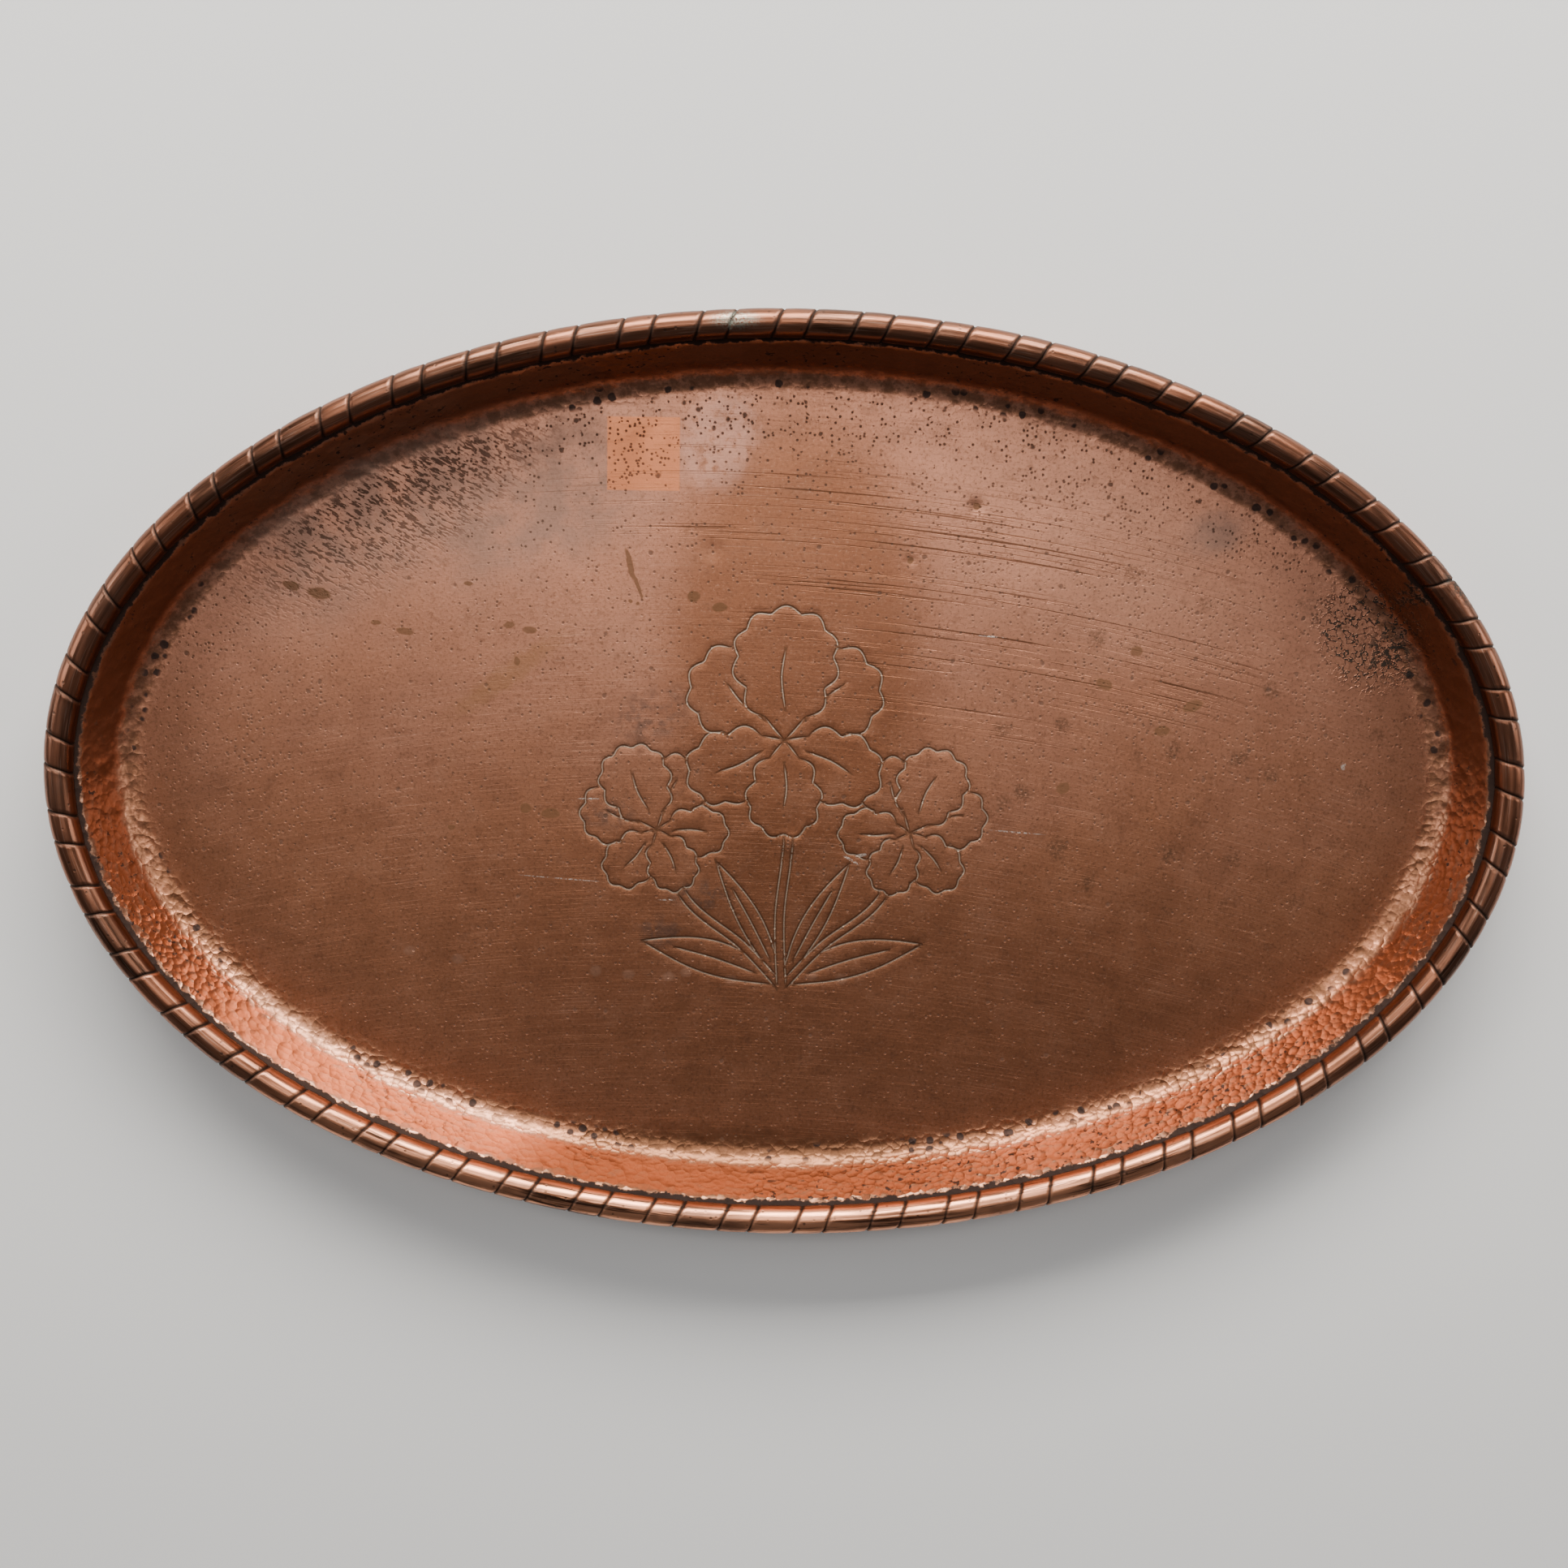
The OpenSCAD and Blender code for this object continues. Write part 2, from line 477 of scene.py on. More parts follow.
class Bench:
    """Lays nodes in one node tree and wires them together."""

    def __init__(self, tree):
        self.tree = tree

    def feed(self, socket, value):
        if isinstance(value, bpy.types.NodeSocket):
            self.tree.links.new(value, socket)
        else:
            socket.default_value = value

    def lay(self, kind, feeds=None, **settings):
        node = self.tree.nodes.new(kind)
        for name, value in settings.items():
            setattr(node, name, value)
        for socket, value in (feeds or {}).items():
            self.feed(node.inputs[socket], value)
        return node

    def math(self, operation, *values, clamp=False):
        node = self.lay("ShaderNodeMath", operation=operation, use_clamp=clamp)
        for socket, value in zip(node.inputs, values):
            self.feed(socket, value)
        return node.outputs[0]

    def vector(self, operation, *values):
        node = self.lay("ShaderNodeVectorMath", operation=operation)
        sockets = node.inputs
        if operation == "SCALE":
            sockets = (node.inputs[0], node.inputs["Scale"])
        for socket, value in zip(sockets, values):
            self.feed(socket, value)
        return node.outputs["Value" if operation in ("LENGTH", "DOT_PRODUCT", "DISTANCE") else "Vector"]

    def ease(self, value, start, stop, low=0.0, high=1.0):
        """A smooth step from low to high as value goes from start to stop."""
        node = self.lay("ShaderNodeMapRange", interpolation_type="SMOOTHSTEP")
        for name, given in (("Value", value), ("From Min", start), ("From Max", stop),
                            ("To Min", low), ("To Max", high)):
            self.feed(node.inputs[name], given)
        return node.outputs[0]

    def split(self, vector):
        node = self.lay("ShaderNodeSeparateXYZ", {0: vector})
        return node.outputs[0], node.outputs[1], node.outputs[2]

    def join(self, x, y, z):
        return self.lay("ShaderNodeCombineXYZ", {0: x, 1: y, 2: z}).outputs[0]

    def noise(self, at, scale, detail=2.0, roughness=0.5, distortion=0.0):
        node = self.lay("ShaderNodeTexNoise", {"Vector": at, "Scale": scale, "Detail": detail,
                                               "Roughness": roughness, "Distortion": distortion})
        return node.outputs[0]

    def cells(self, at, scale):
        """Distance to the nearest cell middle, and that cell's own random colour."""
        node = self.lay("ShaderNodeTexVoronoi", {"Vector": at, "Scale": scale})
        return node.outputs["Distance"], node.outputs["Color"]

    def chance(self, hue):
        """A cell's random number from 0 to 1, out of its random colour."""
        return self.lay("ShaderNodeSeparateColor", {"Color": hue}).outputs[0]

    def blend(self, amount, under, over):
        node = self.lay("ShaderNodeMix", data_type="RGBA")
        self.feed(node.inputs[0], amount)
        self.feed(node.inputs[6], under)
        self.feed(node.inputs[7], over)
        return node.outputs[2]


def new_tree(name, sizes):
    """A Geometry Nodes tree with geometry in and out and one named input for each size."""
    tree = bpy.data.node_groups.new(name, "GeometryNodeTree")
    tree.interface.new_socket("Geometry", in_out="INPUT", socket_type="NodeSocketGeometry")
    for label, kind in sizes:
        tree.interface.new_socket(label, in_out="INPUT", socket_type="NodeSocket" + kind)
    tree.interface.new_socket("Geometry", in_out="OUTPUT", socket_type="NodeSocketGeometry")
    bench = Bench(tree)
    given = bench.lay("NodeGroupInput")
    result = bench.lay("NodeGroupOutput")
    return tree, bench, given.outputs, result.inputs[0]


def run_tree(piece, tree, sizes):
    """The mesh that a tree makes from piece with these sizes."""
    step = piece.modifiers.new(tree.name, "NODES")
    step.node_group = tree
    sockets = {item.name: item.identifier for item in tree.interface.items_tree if item.in_out == "INPUT"}
    for label, value in sizes.items():
        step[sockets[label]] = value
    done = piece.evaluated_get(bpy.context.evaluated_depsgraph_get())
    mesh = bpy.data.meshes.new_from_object(done)
    piece.modifiers.clear()
    return mesh


def finish_tree(bench, geometry, material, result):
    """Realize Instances and Set Material, the end of each tree."""
    real = bench.lay("GeometryNodeRealizeInstances", {"Geometry": geometry})
    faced = bench.lay("GeometryNodeSetMaterial", {"Geometry": real.outputs[0], "Material": material})
    bench.feed(result, faced.outputs[0])


# The sheet's finish: old copper, pink towards the far side and brown towards the near one
# as painted reflection, with fine pits, long rubbing scratches, dark fire scale in the cove
# and under the binding (there partly painted shade), a few crusts of green and one clean square where a label
# once sat.
def new_paint(name):
    paint = bpy.data.materials.new(name)
    paint.use_nodes = True
    bench = Bench(paint.node_tree)
    shader = paint.node_tree.nodes["Principled BSDF"]
    shader.inputs["Metallic"].default_value = 1.0
    place = bench.lay("ShaderNodeTexCoord").outputs["Object"]
    return paint, bench, shader, bench.vector("SCALE", place, 1000.0)


def attribute(bench, name, output="Fac"):
    return bench.lay("ShaderNodeAttribute", attribute_name=name, attribute_type="GEOMETRY").outputs[output]


pan_paint, bench, pan_shader, spot = new_paint("old_copper_sheet")
spot_x, spot_y, _ = bench.split(spot)
up_mm = bench.math("MULTIPLY", attribute(bench, "way_up"), 1000.0)
outer_here = attribute(bench, "outer")
inner = bench.math("SUBTRACT", 1.0, outer_here)
graved_here = attribute(bench, "graved")

cloud = bench.noise(spot, 0.016, 3.0, 0.55)
mottle = bench.noise(spot, 0.07, 5.0, 0.6)
blotch = bench.noise(spot, 0.22, 4.0, 0.65)
grain = bench.noise(spot, 0.8, 3.0, 0.65)
wander_x = bench.math("SUBTRACT", bench.noise(spot, 0.25, 3.0), 0.5)
wander_y = bench.math("SUBTRACT", bench.noise(bench.vector("ADD", spot, (70.0, 0.0, 9.0)), 0.25, 3.0), 0.5)
wander = bench.join(wander_x, wander_y, 0.0)
ragged = bench.vector("ADD", spot, bench.vector("SCALE", wander, 8.0))
softly = bench.vector("ADD", spot, bench.vector("SCALE", wander, 2.0))
on_floor = bench.math("MULTIPLY", bench.ease(up_mm, 3.0, -3.0), inner)
on_wall = bench.math("MULTIPLY", bench.ease(up_mm, 6.0, 13.0), inner)


def blot(x, y, wide, tall, lean=0.0, soft=0.5, at=ragged):
    """An oval mark on the sheet: 1 inside, 0 outside. Sizes are half widths in mm."""
    turn = math.radians(lean)
    off = bench.vector("SUBTRACT", at, (x, y, 0.0))
    across = bench.vector("DOT_PRODUCT", off, (math.cos(turn) / wide, math.sin(turn) / wide, 0.0))
    upward = bench.vector("DOT_PRODUCT", off, (-math.sin(turn) / tall, math.cos(turn) / tall, 0.0))
    reach = bench.vector("LENGTH", bench.join(across, upward, 0.0))
    return bench.ease(reach, 1.0 + soft / 2, 1.0 - soft / 2)


def most(masks):
    """The strongest of some masks at each place."""
    result = None
    for mask in masks:
        result = mask if result is None else bench.math("MAXIMUM", result, mask)
    return result


def tint(mask, share, colour):
    """Lays a colour over the tone so far, as strong as share where mask is 1."""
    return bench.blend(bench.math("MULTIPLY", mask, share), tone, colour)


# Ground colour: painted reflection, pink towards the far side where the dish mirrors the bright room
# and dark red-brown towards the near side and down the middle where it mirrors the dark; broken by mottle and
# grain.
far_reflection_share = bench.ease(bench.math("ADD", spot_y, bench.math("MULTIPLY", cloud, 120.0)), 0.0, 150.0)
tone = bench.blend(far_reflection_share, (0.52, 0.215, 0.112, 1), (0.62, 0.275, 0.170, 1))
tone = tint(blot(128, 88, 70, 38, -15, 1.2), 0.45, (0.76, 0.36, 0.23, 1))
# Painted dark reflection across the near half of the floor.
near_dark_reflection = most([blot(0, -75, 115, 62, 0, 1.1), blot(90, -95, 100, 36, 12, 1.2)])
tone = tint(near_dark_reflection, 0.52, (0.33, 0.125, 0.060, 1))
# Painted dark reflection: a tall dark column down the middle of the floor.
tone = tint(blot(4, 45, 50, 98, 0, 0.6), 0.74, (0.32, 0.120, 0.055, 1))
tone = tint(bench.ease(mottle, 0.45, 0.75), 0.20, (0.33, 0.19, 0.13, 1))
tone = tint(bench.ease(blotch, 0.52, 0.72), 0.35, (0.27, 0.12, 0.07, 1))
tone = tint(bench.ease(grain, 0.50, 0.70), 0.50, (0.20, 0.09, 0.05, 1))
tone = tint(bench.ease(grain, 0.44, 0.28), 0.25, (0.80, 0.46, 0.32, 1))
tone = tint(on_wall, 0.80, (0.33, 0.172, 0.106, 1))
# Painted highlight on the lower left wall, standing in for bright facet glints there.
painted_highlight_wall = bench.math("MULTIPLY", blot(-155, -125, 75, 22, -32, 0.7), bench.ease(up_mm, 0.0, 7.0))
tone = tint(painted_highlight_wall, 0.45, (0.80, 0.42, 0.27, 1))
# Painted shade over the near middle of the cove and lower wall, dimming its highlight there.
tone = tint(blot(-20, -155, 95, 12, 0, 0.8), 0.70, (0.20, 0.09, 0.045, 1))
in_cove = bench.math("MULTIPLY", bench.ease(up_mm, 0.2, 1.5), bench.ease(up_mm, 10.0, 7.0))
tone = tint(bench.math("MULTIPLY", in_cove, bench.ease(blotch, 0.42, 0.56)), 0.55, (0.20, 0.09, 0.045, 1))

# Grey film over the far left, orange where a drip ran, soft round stains on the right.
film = most([blot(-98, 108, 48, 26, 20, 1.0), blot(-160, 104, 60, 30, 34, 1.0),
             blot(166, 98, 12, 8, 20, 0.9)])
film = bench.math("MULTIPLY", film, bench.ease(mottle, 0.35, 0.6, 0.35, 0.8))
tone = tint(film, 0.60, (0.30, 0.22, 0.18, 1))
smudge = most([blot(-48, -63, 9, 5, 0, 1.2), blot(-53, 23, 13, 9, 30, 1.3), blot(-69, -16, 8, 5, 0, 1.2),
               blot(-32, -48, 10, 5, 0, 1.2)])
tone = tint(bench.math("MULTIPLY", smudge, bench.ease(blotch, 0.40, 0.58)), 0.5, (0.16, 0.11, 0.09, 1))
tone = tint(blot(-109, 38, 24, 4, 36, 1.2), 0.45, (0.40, 0.19, 0.08, 1))
stain_gap, stain_hue = bench.cells(ragged, 0.075)
stains = bench.math("MULTIPLY", bench.math("LESS_THAN", bench.chance(stain_hue), 0.5),
                    bench.ease(stain_gap, 0.38, 0.12))
stains = bench.math("MULTIPLY", stains, blot(150, 15, 85, 75, 0, 0.8))
stains = bench.math("MULTIPLY", stains, bench.ease(grain, 0.36, 0.56))
tone = tint(stains, 0.55, (0.16, 0.09, 0.055, 1))

# The square where a label kept the metal clean, and the rubbed patch beside it.
label_x, label_y, label_half = -56.0, 124.5, 14.0
edge_x = bench.math("ABSOLUTE", bench.math("SUBTRACT", spot_x, label_x))
edge_y = bench.math("ABSOLUTE", bench.math("SUBTRACT", spot_y, label_y))
label = bench.ease(bench.math("MAXIMUM", edge_x, edge_y), label_half + 0.4, label_half - 0.4)
label = bench.math("MULTIPLY", label, on_floor)
rubbed = bench.math("MULTIPLY", blot(-27, 130, 13, 19, -20, 0.7), on_floor)
rubbed = bench.math("MULTIPLY", rubbed, bench.ease(blotch, 0.65, 0.45))
tone = tint(rubbed, 0.50, (0.80, 0.42, 0.31, 1))
tone = tint(label, 0.85, (0.82, 0.28, 0.12, 1))

# Long scratches in bundles, nearly level, that bow a little down to the right.
bow = bench.math("MULTIPLY", bench.math("MULTIPLY", spot_x, spot_x), 0.0006)
level_y = bench.math("ADD", bench.math("ADD", spot_y, bow), bench.math("MULTIPLY", spot_x, 0.045))
bundle_at = bench.join(bench.math("MULTIPLY", spot_x, 0.004), bench.math("MULTIPLY", level_y, 0.11), 7.0)
bundles = bench.noise(bundle_at, 1.0)
line_at = bench.join(bench.math("MULTIPLY", spot_x, 0.008), bench.math("MULTIPLY", level_y, 1.3), 0.0)
scratches = bench.ease(bench.noise(line_at, 1.0, 2.0, 0.6), 0.57, 0.61)
scratches = bench.math("MULTIPLY", scratches, bench.ease(bundles, 0.42, 0.56))
scratch_zone = most([blot(80, 62, 105, 45, -6, 0.5), blot(-20, 108, 70, 20, -3, 0.7)])
scratches = bench.math("MULTIPLY", scratches, bench.math("MULTIPLY", scratch_zone, on_floor))
fine_at = bench.join(bench.math("MULTIPLY", spot_x, 0.03), bench.math("MULTIPLY", level_y, 4.0), 3.0)
fine_lines = bench.math("MULTIPLY", bench.ease(bench.noise(fine_at, 1.0, 2.0, 0.5), 0.55, 0.70), on_floor)
tone = tint(scratches, 0.80, (0.12, 0.05, 0.025, 1))
tone = tint(bench.math("MULTIPLY", fine_lines, bench.ease(cloud, 0.35, 0.6)), 0.12, (0.85, 0.55, 0.42, 1))

# Pits and speckle, thick towards the far right, at the far left and in the label square.
pit_gap, pit_hue = bench.cells(spot, 0.62)
pit_crowd = most([blot(150, 80, 100, 70, -15, 1.2), blot(20, 138, 130, 22, 0, 1.0),
                  blot(-215, 20, 30, 70, 0, 1.2)])
pit_crowd = bench.math("ADD", bench.math("MULTIPLY", pit_crowd, 0.20), bench.math("MULTIPLY", label, 0.35))
pit_crowd = bench.math("ADD", pit_crowd, 0.13)
pit_crowd = bench.math("MULTIPLY", pit_crowd, bench.ease(mottle, 0.35, 0.65, 0.3, 1.7))
pits = bench.math("MULTIPLY", bench.math("LESS_THAN", bench.chance(pit_hue), pit_crowd),
                  bench.ease(pit_gap, 0.42, 0.22))
big_gap, big_hue = bench.cells(softly, 0.17)
big_here = bench.math("LESS_THAN", bench.chance(big_hue), bench.math("MULTIPLY", pit_crowd, 0.8))
big_pits = bench.math("MULTIPLY", big_here, bench.ease(big_gap, 0.22, 0.10))
dash_rise = bench.join(0.0, bench.math("MULTIPLY", spot_x, 0.45), 0.0)
dash_at = bench.vector("MULTIPLY", bench.vector("ADD", spot, dash_rise), (0.38, 0.85, 0.3))
dashes = bench.ease(bench.noise(dash_at, 1.0, 2.0, 0.6), 0.50, 0.58)
dashes = bench.math("MULTIPLY", dashes, blot(-154, 103, 60, 23, 34, 1.1))
speckle = bench.math("MULTIPLY", most([pits, big_pits, dashes]), on_floor)
tone = tint(speckle, 0.72, (0.12, 0.075, 0.055, 1))

# Olive-brown drips and dark dots on the floor.
drips = most(blot(x, y, wide, tall, lean, 0.35, at=softly) for x, y, wide, tall, lean in [
    (-182, 69, 4.6, 2.2, -10), (-193, 72, 3.4, 1.4, -20), (-149, 55, 3.4, 1.5, -15), (-160, 58, 2.0, 1.1, 0),
    (-108, 58, 2.2, 1.2, 0), (-100, 56, 2.8, 1.5, 0), (-124, 74, 1.8, 0.9, 0), (-92, -16, 4.0, 1.9, 0),
    (-102, -14, 2.4, 1.9, 0), (-131, -22, 1.6, 1.0, 0), (-61, 82, 1.2, 6.5, 16), (-58, 74, 0.7, 6.0, 18),
    (-61, 68, 0.9, 0.9, 0), (-58, 67, 0.7, 0.7, 0), (-105, 44, 1.2, 1.8, 0), (-36, 70, 2.6, 2.2, 0),
    (-26, 66, 3.0, 1.8, 0), (48, 85, 1.4, 1.4, 0), (73, 106, 1.6, 1.4, 0), (137, 51, 2.6, 1.8, 0),
    (125, 38, 3.4, 2.0, -20), (160, 30, 4.2, 2.2, 20), (148, 20, 3.4, 2.0, 0), (110, -3, 2.8, 2.2, 0)])
tone = tint(bench.math("MULTIPLY", drips, on_floor), 0.75, (0.15, 0.080, 0.040, 1))

# Pale pock marks in a loose row below the spray.
pocks = most(blot(x, y, 2.3, 1.9, 0, 0.8, at=softly) for x, y in [
    (-74, -79), (-61, -80), (-45, -81), (-38, -79), (-20, -82), (12, -80), (24, -81), (-129, -75),
    (-148, -72)])
tone = tint(bench.math("MULTIPLY", pocks, on_floor), 0.35, (0.66, 0.36, 0.24, 1))

# Fire scale: black ovals along the cove, flecks on the wall, and a dark seam at the binding that is partly
# fire scale and partly painted shade in the crease under the binding.
scale_gap, scale_hue = bench.cells(softly, 0.21)
scale_run = bench.ease(bench.noise(spot, 0.02, 2.0), 0.42, 0.60)
scale_band = bench.math("MULTIPLY", bench.ease(up_mm, -1.5, 1.0), bench.ease(up_mm, 8.0, 5.0))
fire_scale_and_shade = bench.math("MULTIPLY", bench.ease(scale_gap, 0.40, 0.28), scale_band)
fire_scale_and_shade = bench.math("MULTIPLY", fire_scale_and_shade, bench.math("LESS_THAN", bench.chance(scale_hue),
                                                             bench.math("MULTIPLY", scale_run, 0.8)))
flecks = bench.ease(bench.noise(spot, 0.42, 2.0, 0.5), 0.62, 0.67)
flecks = bench.math("MULTIPLY", flecks, bench.math("MULTIPLY", on_wall, bench.ease(cloud, 0.40, 0.55)))
flare_end = cove_steps + wall_steps + flare_steps
seam_up = (section_lengths(dish_side)[flare_end] + lip) / MM
# The dark seam where the wall runs under the binding: partly fire scale, partly painted shade in the crease.
crease_scale_and_shade = bench.math("ADD", up_mm, bench.math("MULTIPLY", bench.math("SUBTRACT", blotch, 0.5), 7.0))
crease_scale_and_shade = bench.ease(crease_scale_and_shade, seam_up - 2.6, seam_up - 1.6)
fire_scale_and_shade = bench.math("MULTIPLY", most([fire_scale_and_shade, flecks, crease_scale_and_shade]), inner)
tone = tint(fire_scale_and_shade, 0.88, (0.035, 0.03, 0.03, 1))

# Green-black crust near the right end, crackled where it meets the floor.
crackle = bench.math("ABSOLUTE", bench.math("SUBTRACT", bench.noise(spot, 0.30, 2.0, 0.5), 0.5))
crackle = bench.math("MULTIPLY", bench.ease(crackle, 0.035, 0.015), blot(226, 58, 17, 22, 30, 0.5))
crust = most([blot(236, 50, 8, 11, 35, 0.9), blot(249, 82, 8, 11, 30, 0.8), blot(238, 75, 5, 5, 0, 0.8)])
crust = bench.math("MULTIPLY", crust, bench.ease(bench.noise(spot, 0.35, 4.0, 0.7), 0.46, 0.56))
crust = bench.math("MULTIPLY", bench.math("MAXIMUM", crackle, crust), inner)
tone = tint(crust, 0.9, (0.035, 0.045, 0.04, 1))

# Cut lines: pale metal in the groove between two flanks of painted shade. Bright fresh nicks.
painted_shade_flank = bench.math("MULTIPLY", bench.ease(graved_here, 0.10, 0.30), bench.ease(graved_here, 0.75, 0.50))
tone = tint(painted_shade_flank, 0.55, (0.13, 0.065, 0.035, 1))
tone = tint(bench.ease(graved_here, 0.50, 0.95), 0.75, (0.62, 0.52, 0.40, 1))
nicks = most(blot(x, y, wide, tall, lean, 0.6, at=spot) for x, y, wide, tall, lean in [
    (27, -33, 3.5, 0.5, -30), (31, -31, 2.5, 0.6, 10), (-77, -10, 4, 0.35, 0), (92, -21, 10, 0.3, -4),
    (-88, -42, 15, 0.25, -4), (80, 56, 5, 0.3, -4), (-46, -50, 3, 0.3, 0), (220, 7, 1.0, 1.4, 0)])
nicks = bench.math("MULTIPLY", nicks, bench.ease(grain, 0.42, 0.58))
tone = tint(bench.math("MULTIPLY", nicks, inner), 0.9, (0.98, 0.78, 0.66, 1))
tone = tint(outer_here, 0.6, (0.26, 0.11, 0.065, 1))
bench.feed(pan_shader.inputs["Base Color"], tone)

dulled = most([speckle, drips, crust, fire_scale_and_shade])
rough = bench.math("ADD", bench.math("MULTIPLY", mottle, 0.16), 0.31)
rough = bench.math("ADD", rough, bench.math("MULTIPLY", dulled, 0.25))
rough = bench.math("ADD", rough, bench.math("MULTIPLY", crease_scale_and_shade, 0.30))
rough = bench.math("SUBTRACT", rough, bench.math("MULTIPLY", on_wall, 0.08))
rough = bench.math("ADD", rough, bench.math("MULTIPLY", film, 0.12), clamp=True)
bench.feed(pan_shader.inputs["Roughness"], rough)

# Fine relief: small hammer facets in cove and wall, pits, scratches, crust and grain.
facet_gap, _ = bench.cells(softly, 0.34)
ridge = bench.math("MULTIPLY", bench.ease(up_mm, -4.0, 3.0), bench.ease(spot_y, 40.0, -70.0, 0.25, 0.75))
ridge = bench.math("MULTIPLY", ridge, bench.ease(cloud, 0.35, 0.62, 0.45, 1.1))
relief = bench.math("MULTIPLY", bench.math("POWER", facet_gap, 2.0), ridge)
for mask, height in ((grain, 0.06), (speckle, -0.08), (scratches, -0.05), (fine_lines, -0.015), (crust, 0.2)):
    relief = bench.math("ADD", relief, bench.math("MULTIPLY", mask, height))
bump = bench.lay("ShaderNodeBump", {"Height": relief, "Strength": 0.8, "Distance": 1.0 * MM})
bench.feed(pan_shader.inputs["Normal"], bump.outputs[0])

# The planishing itself: facets on both sides of wall and cove, shallow dimples in the
# floor, and a slow swell of the whole floor, the same above and below.
planish, bench, given, result = new_tree(
    "planish_sheet", [("Facet size", "Float"), ("Facet depth", "Float"), ("Floor dimples", "Float"),
                      ("Dent depth", "Float"), ("Material", "Material")])
here = bench.lay("GeometryNodeInputPosition").outputs[0]
face_way = bench.lay("GeometryNodeInputNormal").outputs[0]
way_here = bench.lay("GeometryNodeInputNamedAttribute", {"Name": "way_up"}, data_type="FLOAT").outputs[0]
facet_count = bench.math("DIVIDE", 1.0, given["Facet size"])
cell_gap, _ = bench.cells(here, facet_count)
wide_at = bench.vector("ADD", here, (1.0, 2.0, 3.0))
wide_gap, _ = bench.cells(wide_at, bench.math("MULTIPLY", facet_count, 0.55))
wide_bowl = bench.math("MULTIPLY", bench.math("POWER", wide_gap, 2.0), 1.3)
bowl = bench.math("ADD", bench.math("POWER", cell_gap, 2.0), wide_bowl)
bowl = bench.math("SUBTRACT", bowl, 0.6)
in_wall = bench.math("MULTIPLY", bench.ease(way_here, -2 * MM, 5 * MM),
                     bench.ease(way_here, 31 * MM, 27 * MM))
patches = bench.ease(bench.noise(here, 14.0, 2.0), 0.50, 0.68)
dimpled = bench.math("MULTIPLY", patches, given["Floor dimples"])
beat = bench.math("MAXIMUM", in_wall, bench.math("MULTIPLY", dimpled, bench.ease(way_here, 4 * MM, -2 * MM)))
beaten = bench.math("MULTIPLY", bench.math("MULTIPLY", bowl, beat), given["Facet depth"])
flat_here = bench.vector("MULTIPLY", here, (1.0, 1.0, 0.0))
swell = bench.noise(flat_here, 11.0, 2.0, 0.5)
rise = bench.math("MULTIPLY", bench.ease(swell, 0.25, 0.75), given["Dent depth"])
rise = bench.math("MULTIPLY", rise, bench.ease(way_here, 6 * MM, -30 * MM))
push = bench.vector("ADD", bench.vector("SCALE", face_way, beaten), bench.join(0.0, 0.0, rise))
moved = bench.lay("GeometryNodeSetPosition", {"Geometry": given["Geometry"], "Offset": push})
finish_tree(bench, moved.outputs[0], given["Material"], result)
pan.data = run_tree(pan, planish, {"Facet size": 4.2 * MM, "Facet depth": 0.36 * MM, "Floor dimples": 0.16,
                                   "Dent depth": 0.5 * MM, "Material": pan_paint})
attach(pan, "root")
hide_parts("tray_pan")


# ---------------------------------------------------------------- rope binding
# A slit copper tube drawn over the sheet's edge all round and dressed down on both
# sides. It was then chased with slanting grooves, set long and short by turns, so
# that it reads as a rope; the chasing threw up a bright edge beside each groove.
tube_t = 0.8 * MM
play = 0.06 * MM
groove_pairs = 49
stops_per_groove = 11
bore_r = tube_r - tube_t
slit_at = slit_slope + math.pi
slit_out = math.asin((sheet_t / 2 + play) / tube_r)
slit_in = math.asin((sheet_t / 2 + play) / bore_r)
whole_turn = 2 * math.pi


def closed_line(name, line):
    """A closed line of points as a curve object."""
    curve = bpy.data.curves.new(name, "CURVE")
    curve.dimensions = "3D"
    spline = curve.splines.new("POLY")
    spline.points.add(len(line) - 1)
    spline.points.foreach_set("co", np.ravel(np.column_stack([line, np.ones(len(line))])))
    spline.use_cyclic_u = True
    holder = bpy.data.objects.new(name, curve)
    bpy.context.scene.collection.objects.link(holder)
    return holder


tube_path = closed_line("binding_path", oval_ring(-tube_r, rim_z, 1440))
origin = np.zeros(2)
tube_section = (arc(origin, tube_r, slit_at + slit_out, slit_at + whole_turn - slit_out, 40)
                + arc(origin, bore_r, slit_at + whole_turn - slit_in, slit_at + slit_in, 10))
tube_section = np.column_stack([np.array(tube_section), np.zeros(len(tube_section))])
tube_profile = closed_line("binding_profile", tube_section)

rope_paint, bench, rope_shader, spot = new_paint("old_copper_tube")
round_mm, turn_at, groove_mm = bench.split(attribute(bench, "lay", "Vector"))
burr_here = attribute(bench, "burr")
worn = attribute(bench, "worn")
round_mm = bench.math("MULTIPLY", round_mm, 1000.0)
groove_mm = bench.math("MULTIPLY", groove_mm, 1000.0)
streak_at = bench.join(bench.math("MULTIPLY", round_mm, 0.022), bench.math("MULTIPLY", turn_at, 2.6), 0.0)
streak = bench.noise(streak_at, 1.0, 4.0, 0.65, 0.3)
hair_at = bench.join(bench.math("MULTIPLY", round_mm, 0.05), bench.math("MULTIPLY", turn_at, 9.0), 5.0)
hair = bench.noise(hair_at, 1.0, 2.0, 0.5)
cloud = bench.noise(spot, 0.05, 3.0, 0.6)
grain = bench.noise(spot, 1.1, 3.0, 0.6)
tone = bench.blend(bench.ease(streak, 0.35, 0.65), (0.08, 0.036, 0.021, 1), (0.27, 0.115, 0.068, 1))
tone = bench.blend(bench.math("MULTIPLY", worn, 0.6), tone, (0.40, 0.15, 0.08, 1))
